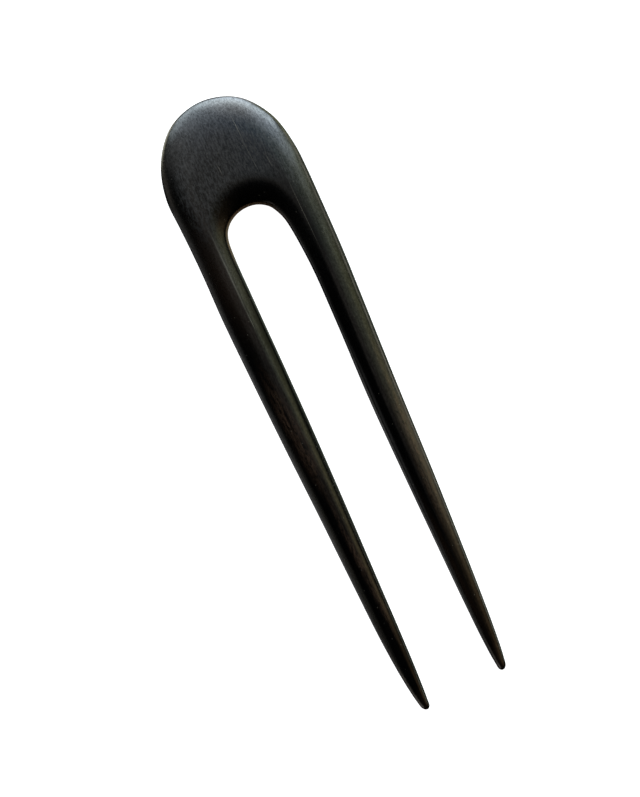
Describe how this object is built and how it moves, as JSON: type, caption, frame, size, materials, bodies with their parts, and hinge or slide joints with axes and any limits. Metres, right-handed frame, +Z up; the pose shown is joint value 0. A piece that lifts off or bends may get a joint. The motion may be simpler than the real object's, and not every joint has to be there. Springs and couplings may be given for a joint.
{
  "type": "hairpin",
  "caption": "Hair fork carved from one piece of black wood: a flat oval head and long tapering prongs with rounded tips that slide through a bun to hold it.",
  "frame": {"origin": "middle of the outline, on the plane that the underside rests on", "axes": "+Y along the fork towards its head, so the tips point to -Y; +Z up through the thickness; +X to the right seen from above"},
  "size_m": [0.0328, 0.15, 0.0069],
  "materials": {
    "ebony": "hand-carved, sanded fine and rubbed with oil to a satin sheen"
  },
  "bodies": {
    "root": {"hair_fork": "ebony"}
  },
  "joints": []
}
